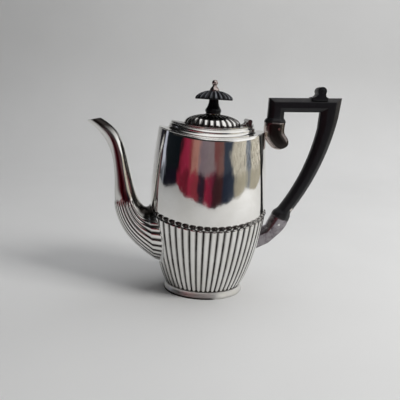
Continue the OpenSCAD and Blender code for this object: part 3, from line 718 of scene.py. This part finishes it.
def eight(a, b, w, soft=0.16):
    """Eight-sided section from a to b with every corner eased by a short flat."""
    a, b = np.asarray(a, float), np.asarray(b, float)
    length, c = np.linalg.norm(b - a), w * END_HALF
    corners = [(1, -c), (1, c), (1 - FLAT_FROM, w), (FLAT_FROM, w), (0, c), (0, -c), (FLAT_FROM, -w),
               (1 - FLAT_FROM, -w)]
    corners = [np.array([s * length, y]) for s, y in corners]
    ring = []
    for i, p in enumerate(corners):
        to_last, to_next = corners[i - 1] - p, corners[(i + 1) % 8] - p
        before, after = np.linalg.norm(to_last), np.linalg.norm(to_next)
        r = min(soft * 4, 0.3 * before, 0.3 * after)
        p0, p1 = p + to_last / before * r, p + to_next / after * r
        for s, y in (p0, 0.25 * p0 + 0.5 * p + 0.25 * p1, p1):
            x, z = a + (b - a) * (s / length)
            ring.append((x, y, z))
    return ring


def stations(rows, per=5):
    """Sections eased into one another along the bar."""
    flat = np.array([[*a, *b, w] for a, b, w in rows], float)
    return [([p[0], p[1]], [p[2], p[3]], p[4]) for p in curve(flat, per)]


def arc(centre, r, degrees):
    return centre + r * np.array([math.cos(math.radians(degrees)), math.sin(math.radians(degrees))])


SCROLL_C, SCROLL_R, SCROLL_HALF, BOSS_Y = np.array([98, 195.3]), 4.05, 6.0, 6.35


def thumb_scroll():
    """Carved roll on the top bar, its long edges eased, and the low boss through it."""
    side = [(-8.8, -8.3), (6.2, -8.3), (6.2, -5.7), (5.0, -5.3), (4.2, -4.7), (3.75, -3.4)]
    side += [(SCROLL_R * math.cos(a), SCROLL_R * math.sin(a)) for a in np.radians(np.linspace(-32, 212, 40))]
    side += [(-3.75, -3.2), (-4.6, -4.3), (-5.6, -5.0), (-7.2, -5.6), (-8.8, -6.0)]
    side, middle = np.array(side), np.array([0, -1.5])

    def at(y, shrink):
        return [(x, y, z) for x, z in SCROLL_C + middle + (side - middle) * shrink]

    ends = [(SCROLL_HALF, 0.90), (SCROLL_HALF - 0.1, 0.94), (SCROLL_HALF - 0.35, 0.98),
            (SCROLL_HALF - 0.7, 1.0)]
    roll = [at(-y, k) for y, k in ends] + [at(y, k) for y, k in ends[::-1]]
    turn = np.linspace(0, TAU, 24, endpoint=False)
    ends = [(BOSS_Y, 1.2), (BOSS_Y - 0.05, 1.7), (BOSS_Y - 0.3, 2.0)]
    boss = [np.stack([SCROLL_C[0] + r * np.cos(turn), np.full(24, y), SCROLL_C[1] + r * np.sin(turn)], 1)
            for y, r in [(-y, r) for y, r in ends] + ends[::-1]]
    return roll, boss


def make_handle():
    grip = [(arc(OUT_C, OUT_R, v), arc(IN_C, IN_R, v), BAR_W) for v in np.linspace(-8, -34.3, 24)]
    rings = [eight(*row) for row in BAR_ROWS + grip + END_ROWS]
    loft("handle_wood", rings, EBONY, nodes=["handle"], sharp=28,
         extra=thumb_scroll())


def off_wall(ring):
    """Moves points that would sink into the plain wall back onto it."""
    ring = np.array(ring)
    a = wall_half(ring[:, 2]) + WALL_GAP
    x_min = a * np.sqrt(np.maximum(0, 1 - (ring[:, 1] / (OVAL * a)) ** 2))
    ring[:, 0] = np.maximum(ring[:, 0], x_min)
    return ring


def make_upper_socket():
    rows = stations(UPPER_ROWS, 4) + [(*UPPER_JOINT, SOCKET_W - 0.15)]
    # painted shade on the socket's flat sides, less at its ends
    flat_side = np.isin(np.arange(24) // 3, (2, 3, 6, 7))
    ends = [0.3 if i < 3 or i > len(rows) - 3 else 1.0 for i in range(len(rows))]
    grime_and_painted_shade = [np.where(flat_side, 1.15, 0.05) * end for end in ends]
    rings = [off_wall(eight(*row, soft=0.3)) for row in rows]
    loft("upper_socket_boot", rings, SILVER_BOOT_SHADED, nodes=["upper_socket"], sharp=30, paint={"grime_and_painted_shade": grime_and_painted_shade})


def make_lower_socket():
    rows = [(*LOWER_JOINT, SOCKET_W - 0.15)] + stations(LOWER_ROWS, 5) + [LOWER_END]
    rings = [np.array(eight(*row, soft=0.25)) for row in rows]
    last = rings[-1]
    last[:, 0] = bowl_x(last[:, 1], last[:, 2], FLUTE_D * 0.75)
    loft("lower_socket_tip", rings, SILVER_DULL_SHADED, nodes=["lower_socket"], sharp=30)


make_handle()
make_upper_socket()
make_lower_socket()

# ---- lid -------------------------------------------------------------------
FLANGE_GAP, FLANGE_T = 0.2, 0.9
FLANGE_Z = COLLAR_Z + COLLAR_H + FLANGE_GAP + FLANGE_T
DOME_HALF, DOME_H, DOME_FLUTES, DOME_D = 26.0, 11.0, 24, 1.0
DOME_IN_HALF, DOME_IN_H = 23.9, DOME_H - 1.2
HINGE_CUT = 30.3


def make_dome():
    per = 14
    n = DOME_FLUTES * per
    u = np.arange(n) / n
    th = oval_angle(u)
    frac = (u * DOME_FLUTES) % 1
    base = FLANGE_Z + SEAM

    def ring(a, rise):
        return on_oval(a, th, base + lift(a * np.cos(th)) + rise)

    rings, grime_and_painted_shade = [], []
    out = DOME_D * lobe(frac, 0.80)
    # tarnish and painted shade in the valleys, painted shade round the dome's foot, and painted shade inside
    for v in np.radians(np.concatenate([[0], np.linspace(2, 75, 26)])):
        rise = (DOME_H - DOME_D / 2 + out / 2) * math.sin(v)
        rings.append(ring((DOME_HALF - DOME_D + out) * math.cos(v), rise))
        grime_and_painted_shade.append(np.maximum(valley(frac, 0.12, 0.34), 1.1 * (1 - smooth(v / math.radians(9)))))
    for v in np.radians([76, 50, 25, 0]):
        rings.append(ring(DOME_IN_HALF * math.cos(v), DOME_IN_H * math.sin(v)))
        grime_and_painted_shade.append(np.full(n, 0.4))
    band("dome_fluted", rings, SILVER, "lid", nodes=["lid_dome"], sharp=55, paint={"grime_and_painted_shade": grime_and_painted_shade})


def make_flange():
    """Plate under the dome, rounded at its edge and cut straight beside the hinge."""
    n = 288
    # half length, height from the plate's top, painted shade
    profile = [
        (37.55, 0.0, 0.35), (37.75, -0.12, 0.1), (37.8, -0.35, 0.0), (37.75, -0.7, 0.1),
        (37.5, -FLANGE_T, 0.3), (30, -FLANGE_T, 0.5), (DOME_IN_HALF, -FLANGE_T, 0.5),
        (DOME_IN_HALF, 0.0, 1.2), (30, 0.0, 0.55)]
    rings = [oval_ring(a, FLANGE_Z + dz, n) for a, dz, _ in profile]
    for ring in rings:
        cut = np.minimum(ring[:, 0], HINGE_CUT)
        ring[:, 2] -= lift(ring[:, 0]) - lift(cut)
        ring[:, 0] = cut
    grime_and_painted_shade = [np.full(n, g) for _, _, g in profile]
    band("flange_plate", rings, SILVER, "lid", nodes=["lid_flange"], paint={"grime_and_painted_shade": grime_and_painted_shade})


make_dome()
make_flange()

# ---- finial ----------------------------------------------------------------
ROD_HOLE, SEAT_Z, STEM_Z, CAP_Z, CAP_TOP = 1.65, 169.8, 170.6, 182.5, 190.5
NUT_BORE, NUT_BORE_TOP, BALL_R, BALL_Z = 1.52, 194.7, 2.8, 197.2
CAP_RIBS, RIB_D = 22, 1.0
# radius and height above the part's foot
SEAT = [(ROD_HOLE, 0), (6.9, 0), (7.08, 0.2), (7.1, 0.45), (6.8, 0.8), (ROD_HOLE, 0.8)]
STEM = [(6.3, 0), (7, 0.8), (7.3, 2), (7, 3.4), (6, 5.2), (5.2, 7), (4.6, 9.4), (4.3, CAP_Z - STEM_Z)]
STEM_MAX = 7.3
NUT_NECK = [(4.4, 0.6), (4.1, 1.4), (3.3, 2.5), (2.3, 3.6), (1.8, 4.5)]
# radius, height and how deep the ribs are cut
CAP = [(16.5, CAP_Z, 1), (16.95, CAP_Z + 0.15, 1), (17.2, CAP_Z + 0.9, 1), (16.9, 184.5, 1), (15.9, 185.9, 1),
       (12.8, 188, 0.9), (8.6, 189.7, 0.6), (5.6, 190.35, 0.15), (4.6, CAP_TOP, 0)]


def turned(name, profile, mat, nodes, n=96):
    """Lathe-turned piece of the lid; the profile is a loop of radius, height."""
    th = np.arange(n) / n * TAU
    rings = [np.stack([r * np.cos(th), r * np.sin(th), np.full(n, z)], 1) for r, z in profile]
    band(name, rings, mat, "lid", nodes, sharp=30.0)


def make_seat_and_stem():
    turned("seat_turned", [(r, SEAT_Z + h) for r, h in SEAT], SILVER_DARK, ["finial_seat"])
    side = [(min(r, STEM_MAX), STEM_Z + h) for r, h in curve(STEM, 5)]
    turned("stem_turned", [(ROD_HOLE, STEM_Z)] + side + [(ROD_HOLE, CAP_Z)], EBONY_GLOSS,
           ["finial_stem"])


def make_nut():
    profile = [(NUT_BORE, CAP_TOP), (4.3, CAP_TOP), (4.4, CAP_TOP + 0.15)]
    profile += [(r, CAP_TOP + h) for r, h in curve(NUT_NECK, 4)]
    ball = np.radians(np.linspace(-47, 89.9, 24))
    profile += [(BALL_R * math.cos(a), BALL_Z + BALL_R * math.sin(a)) for a in ball]
    profile += [(0.02, NUT_BORE_TOP), (NUT_BORE, NUT_BORE_TOP)]
    turned("nut_turned", profile, SILVER_BOOT_SHADED, ["finial_nut"])


def make_cap():
    per = 14
    n = CAP_RIBS * per
    u = np.arange(n) / n
    frac = (u * CAP_RIBS) % 1
    dip = 1 - lobe(frac, 0.7)
    # painted highlight along the rib crests, stronger on some ribs
    crest = bell(frac, 0.5, 0.15) * (0.30 + 0.70 * np.sin(3.5 * TAU * u + 0.6) ** 2)

    def ring(r, z):
        return np.stack([r * np.cos(TAU * u), r * np.sin(TAU * u), z + np.zeros(n)], 1)

    rings, painted_crest_highlight = [], []
    for r, z, cut in curve(CAP, 4):
        cut = min(max(cut, 0), 1)
        groove = RIB_D * cut * dip
        rings.append(ring(r - groove, z - 0.5 * groove * float(smooth((z - CAP_Z) / 3))))
        painted_crest_highlight.append(crest * cut * float(smooth((z - CAP_Z - 0.6) / 1.5)))
    for z in (CAP_TOP, CAP_Z):
        rings.append(ring(ROD_HOLE, z))
        painted_crest_highlight.append(np.zeros(n))
    band("cap_ribbed", rings, EBONY_GLOSS, "lid", ["finial_cap"], sharp=50,
         paint={"painted_crest_highlight": painted_crest_highlight})


make_seat_and_stem()
make_nut()
make_cap()

# ---- CAD nodes kept as they are --------------------------------------------
BY_SLOT = {"silver": SILVER, "brass": BRASS, "ebonised_wood": EBONY}
# the hinge takes the dark copy standing in for painted shade, the pins a darker copy
BY_NODE = {"hinge_bracket": SILVER_DARK, "hinge_pin": SILVER_DARK, "lid_hinge_leaf": SILVER_DARK,
           "upper_handle_pin": SILVER_DARKER, "lower_handle_pin": SILVER_DARKER}
slot_of = {s["node"]: s["material_slot"] for s in frame["record"]["subparts"]}
for name, ob in frame["nodes"].items():
    ob.data.materials.clear()
    ob.data.materials.append(BY_NODE.get(name, BY_SLOT[slot_of[name]]))

# ---- floor, backdrop (metres) ----------------------------------------------
PAPER_FRONT, PAPER_BEND, BEND_R, PAPER_H = -0.49, 0.62, 0.32, 0.60
PAPER_HALF, PAPER_WIDER = 0.80, 0.45


def torn(c):
    """How far the paper's front edge strays, c from -1 to 1 across."""
    return (0.05 * c + 0.022 * math.sin(9 * c + 1.0) + 0.012 * math.sin(23 * c)
            + 0.008 * math.sin(57 * c + 2.0))


def paper_material():
    mat, n, obj = material("paper")
    tone = n.ramp(n.noise(6, 4, 0.5, obj), [(0.3, (0.735, 0.735, 0.73)), (0.7, (0.76, 0.76, 0.755))])
    n.surface(tone, 0.75, n.bump(n.noise(900, 3, 0.6, obj), 0.1, 0.2 * MM))
    return mat


def make_paper():
    """Seamless paper: flat in front, sweeping up behind."""
    path = [(y, 0.0) for y in np.linspace(PAPER_FRONT, PAPER_BEND, 24)]
    bend = np.linspace(0, math.pi / 2, 14)[1:]
    path += [(PAPER_BEND + BEND_R * math.sin(a), BEND_R * (1 - math.cos(a))) for a in bend]
    path += [(PAPER_BEND + BEND_R, z) for z in np.linspace(BEND_R, PAPER_H, 4)[1:]]
    columns = np.linspace(-1, 1, 41)
    m = len(columns)
    verts = []
    for i, (y, z) in enumerate(path):
        half = PAPER_HALF + PAPER_WIDER * float(smooth((y + 0.1) / 0.6))
        verts += [(c * half, y + (torn(c) if i == 0 else 0.0), z) for c in columns]
    faces = [(m * i + j, m * i + j + 1, m * (i + 1) + j + 1, m * (i + 1) + j)
             for i in range(len(path) - 1) for j in range(m - 1)]
    mesh = bpy.data.meshes.new("paper")
    mesh.from_pydata(verts, [], faces)
    mesh.polygons.foreach_set("use_smooth", [True] * len(mesh.polygons))
    mesh.materials.append(paper_material())
    ob = bpy.data.objects.new("paper", mesh)
    scene.collection.objects.link(ob)


make_paper()

# ---- lights ----------------------------------------------------------------


def area(name, at, target, width, height, power, colour):
    """Soft lamp that only lights: reflections see the surroundings below instead."""
    lamp = bpy.data.lights.new(name, "AREA")
    lamp.shape = "RECTANGLE"
    lamp.size, lamp.size_y = width, height
    lamp.energy = power
    lamp.color = colour
    ob = bpy.data.objects.new(name, lamp)
    scene.collection.objects.link(ob)
    ob.location = at
    ob.rotation_mode = "QUATERNION"
    ob.rotation_quaternion = (Vector(target) - Vector(at)).to_track_quat("-Z", "Y")
    ob.visible_glossy = False


area("window", (0.85, -0.43, 0.93), (0, 0.03, 0.06), 0.40, 0.46, 10, (1.0, 0.99, 0.97))
area("side", (1.0, 0.75, 0.75), (0.1, 0.25, 0), 0.8, 0.8, 2.5, (1.0, 1.0, 1.0))
area("fill", (0.2, 0.2, 1.7), (0, 0.1, 0), 1.6, 1.6, 11, (0.97, 0.98, 1.0))

# ---- surroundings that the metal reflects ----------------------------------
# stops are (azimuth in degrees, colour): 0 towards -Y, growing towards +X
EYE_LEVEL = [
    (-180, 0.30), (-135, 0.25), (-124, (0.015, 0.014, 0.018)), (-104, (0.03, 0.03, 0.045)),
    (-100, (0.50, 0.52, 0.60)), (-95, (0.42, 0.44, 0.52)), (-91, (0.008, 0.010, 0.012)),
    (-56, (0.004, 0.006, 0.008)), (-50, (0.16, 0.012, 0.028)), (-42, (0.26, 0.02, 0.05)),
    (-35, (0.20, 0.03, 0.04)), (-30, (0.30, 0.13, 0.11)), (-22, (0.36, 0.18, 0.15)),
    (-16, (0.17, 0.13, 0.15)), (2, (0.20, 0.16, 0.17)), (9, (0.15, 0.05, 0.05)),
    (20, (0.16, 0.09, 0.08)), (25, (0.035, 0.045, 0.065)), (34, (0.04, 0.05, 0.07)),
    (38, (0.66, 0.61, 0.50)), (62, (0.80, 0.75, 0.63)), (66, (0.26, 0.29, 0.34)),
    (74, (0.28, 0.31, 0.36)), (79, (0.72, 0.67, 0.55)), (108, (0.85, 0.80, 0.70)),
    (116, 0.06), (128, 0.05), (140, (0.5, 0.5, 0.49)), (180, 0.30)]
LOW = [
    (-180, 0.20), (-135, 0.15), (-120, 0.02), (-100, (0.05, 0.05, 0.06)), (-94, (0.22, 0.24, 0.28)),
    (-90, (0.006, 0.006, 0.01)), (-62, (0.008, 0.006, 0.012)), (-55, (0.17, 0.012, 0.028)),
    (-40, (0.11, 0.012, 0.022)), (-30, (0.26, 0.020, 0.045)), (-21, (0.19, 0.03, 0.04)),
    (-17, (0.02, 0.012, 0.022)), (-8, (0.03, 0.012, 0.02)), (-4, (0.24, 0.016, 0.04)),
    (3, (0.10, 0.014, 0.03)), (8, (0.035, 0.012, 0.016)), (18, (0.045, 0.018, 0.018)),
    (22, (0.016, 0.020, 0.035)), (40, (0.03, 0.04, 0.06)), (46, (0.34, 0.31, 0.24)),
    (62, (0.42, 0.39, 0.30)), (68, (0.20, 0.22, 0.25)), (76, (0.40, 0.37, 0.29)),
    (104, (0.45, 0.42, 0.34)), (112, 0.05), (130, 0.04), (142, (0.35, 0.35, 0.34)), (180, 0.20)]
UPPER_WALL = [
    (-180, 0.06), (-130, 0.04), (-60, 0.015), (5, 0.02), (24, 0.06), (34, 0.55), (46, 1.0), (84, 1.05),
    (120, 0.8), (145, 0.25), (180, 0.06)]
CURTAIN = [(36, 0.0), (39, 1.0), (110, 1.0), (114, 0.0)]
# where each level gives way to the next: 0 straight down, 0.5 level, 1 straight up
ROOM_FROM, WALL_FROM, CEILING_FROM = (0.470, 0.482), (0.575, 0.600), (0.72, 0.76)
SOFT_LIGHT, SOFT_STRENGTH, BACKDROP = (0.95, 0.97, 1.0, 1), 0.09, (0.56, 0.56, 0.56, 1)


def make_world():
    world = bpy.data.worlds.new("room")
    scene.world = world
    world.use_nodes = True
    w = Nodes(world.node_tree)
    direction = w.add("ShaderNodeTexCoord").outputs["Generated"]
    parts = w.add("ShaderNodeSeparateXYZ", {"Vector": direction}).outputs
    half = {axis: w.math("MULTIPLY_ADD", parts[axis], 0.5, 0.5) for axis in "XYZ"}

    # azimuth as a part of a turn, its stripes made uneven by slow and quick ripples
    ripple = w.math("MULTIPLY_ADD", w.noise(2.6, 3, 0.5, direction), 0.16, -0.08)
    flutter = w.math("MULTIPLY_ADD", w.noise(7.0, 5, 0.65, direction), 0.44, -0.22)
    azimuth = w.math("ARCTAN2", parts["X"], w.times(parts["Y"], -1.0))
    azimuth = w.math("ADD", azimuth, w.math("ADD", ripple, flutter))
    turn = w.math("MULTIPLY_ADD", azimuth, 1 / TAU, 0.5)

    def around(stops):
        return w.ramp(turn, [(degrees / 360 + 0.5, colour) for degrees, colour in stops])

    # at eye level: furniture, cloth and, from CURTAIN, a patterned curtain
    weave = w.add("ShaderNodeTexWave", {
        "Vector": direction, "Scale": 13.0, "Distortion": 9.0, "Detail": 3.0, "Detail Scale": 1.6},
        bands_direction="DIAGONAL").outputs["Fac"]
    pattern = w.ramp(weave, [(0.30, 0.24), (0.46, 1.0)])
    room = around(EYE_LEVEL)
    room = w.mix(around(CURTAIN), room, w.mix(1.0, room, pattern, "MULTIPLY"))
    # high up: a pale ceiling in front, which the dome's ribs pick up
    across = w.ramp(half["X"], [(0.30, 0.015), (0.43, 1.0)])
    ahead = w.ramp(half["Y"], [(0.64, 0.95), (0.72, 0.02)])
    ceiling = w.mix(1.0, across, ahead, "MULTIPLY")
    # one above the other: darker cloth, the room, a dark left and bright right wall, the ceiling
    uneven = w.math("MULTIPLY_ADD", w.noise(7.0, 4, 0.6, direction), 0.05, -0.025)
    level = w.math("ADD", half["Z"], uneven)
    glossy = around(LOW)
    for (start, end), above in ((ROOM_FROM, room), (WALL_FROM, around(UPPER_WALL)), (CEILING_FROM, ceiling)):
        glossy = w.mix(w.ramp(level, [(start, 0.0), (end, 1.0)]), glossy, above)

    rays = w.add("ShaderNodeLightPath").outputs

    def either(which, no, yes):
        return w.add("ShaderNodeMixShader", {"Fac": rays[which], 1: no, 2: yes}).outputs[0]

    def background(colour, strength=1.0):
        return w.add("ShaderNodeBackground", {"Color": colour, "Strength": strength}).outputs[0]

    light = either("Is Glossy Ray", background(SOFT_LIGHT, SOFT_STRENGTH), background(glossy))
    light = either("Is Camera Ray", light, background(BACKDROP))
    w.add("ShaderNodeOutputWorld", {"Surface": light})


make_world()
scene.view_settings.view_transform = "Standard"
